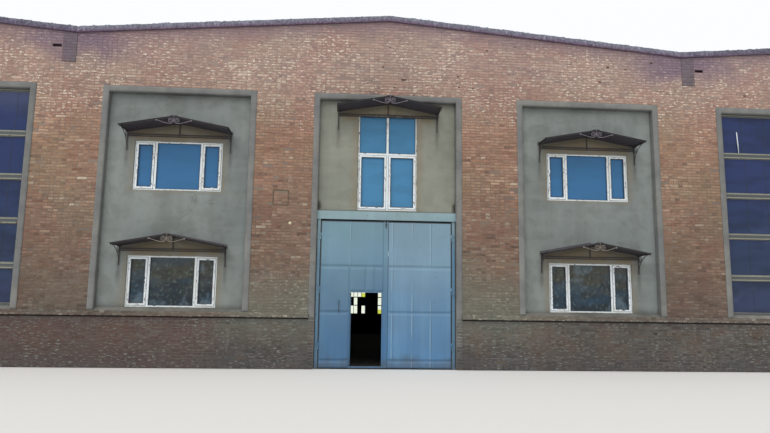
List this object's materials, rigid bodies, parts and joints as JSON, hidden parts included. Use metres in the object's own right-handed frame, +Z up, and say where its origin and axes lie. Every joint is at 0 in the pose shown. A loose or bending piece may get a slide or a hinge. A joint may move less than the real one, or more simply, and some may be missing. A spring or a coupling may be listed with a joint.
{
  "type": "factory building",
  "caption": "Gabled brick factory hall with rendered window bays, small gabled steel canopies with scrolls, and a blue steel swing gate with a wicket door.",
  "frame": {"origin": "centre of the wall footprint at ground level, on the underside of the floor slab", "axes": "+X to the right along the front, +Y from the front into the hall, +Z up"},
  "size_m": [27.62, 22.63, 9.48],
  "materials": {
    "brick": "weathered brickwork",
    "render": "rough cement render",
    "coping": "dark weathered coping",
    "roofing": "roofing felt on concrete",
    "concrete": "precast concrete",
    "white_plastic": "white window profile",
    "office_glass": "blue tinted panes",
    "hall_frame_paint": "old grey paint",
    "hall_glass": "dusty blue panes",
    "canopy_frame_paint": "dark brown paint",
    "canopy_sheet_paint": "maroon profiled sheet",
    "scroll_paint": "pale wrought steel",
    "gate_frame_paint": "pale blue paint",
    "gate_leaf_paint": "faded blue paint"
  },
  "bodies": {
    "building": {"front_wall_left": "brick", "front_wall_right": "brick", "front_gable": "brick", "back_wall": "brick", "back_gable": "brick", "left_party_wall": "brick", "right_party_wall": "brick", "left_infill_wall": "render", "right_infill_wall": "render", "centre_infill_wall": "render", "opening_surrounds": "render", "string_course": "render", "opening_sills": "render", "valley_pads": "render", "front_coping": "coping", "back_coping": "coping", "party_copings": "coping", "centre_roof": "roofing", "wing_roofs": "roofing", "valley_gutters": "concrete", "roof_girders": "concrete", "wing_girders": "concrete", "hall_columns": "concrete", "floor_slab": "concrete", "upper_floor": "concrete", "upper_floor_frame": "concrete", "window_upper_left": "white_plastic", "window_lower_left": "white_plastic", "window_upper_right": "white_plastic", "window_lower_right": "white_plastic", "window_centre": "white_plastic", "office_window_glass": "office_glass", "hall_window_frames": "hall_frame_paint", "back_window_frames": "hall_frame_paint", "hall_window_glass": "hall_glass", "back_window_glass": "hall_glass", "canopy_frames": "canopy_frame_paint", "canopy_sheets": "canopy_sheet_paint", "canopy_scrolls": "scroll_paint", "gate_frame": "gate_frame_paint"},
    "left_leaf": {"gate_leaf_left": "gate_leaf_paint", "gate_skin_left": "gate_leaf_paint"},
    "right_leaf": {"gate_leaf_right": "gate_leaf_paint", "gate_skin_right": "gate_leaf_paint"},
    "wicket": {"wicket_door": "gate_leaf_paint"}
  },
  "joints": [
    {"name": "gate_left_hinge", "type": "hinge", "parent": "building", "child": "left_leaf", "pos_m": [-1.7325, -10.919, 0], "axis": [0, 0, -1], "range_deg": [0, 105]},
    {"name": "gate_right_hinge", "type": "hinge", "parent": "building", "child": "right_leaf", "pos_m": [1.7325, -10.919, 0], "axis": [0, 0, 1], "range_deg": [0, 105]},
    {"name": "wicket_hinge", "type": "hinge", "parent": "left_leaf", "child": "wicket", "pos_m": [-0.955, -10.835, 0], "axis": [0, 0, -1], "range_deg": [0, 105]}
  ]
}
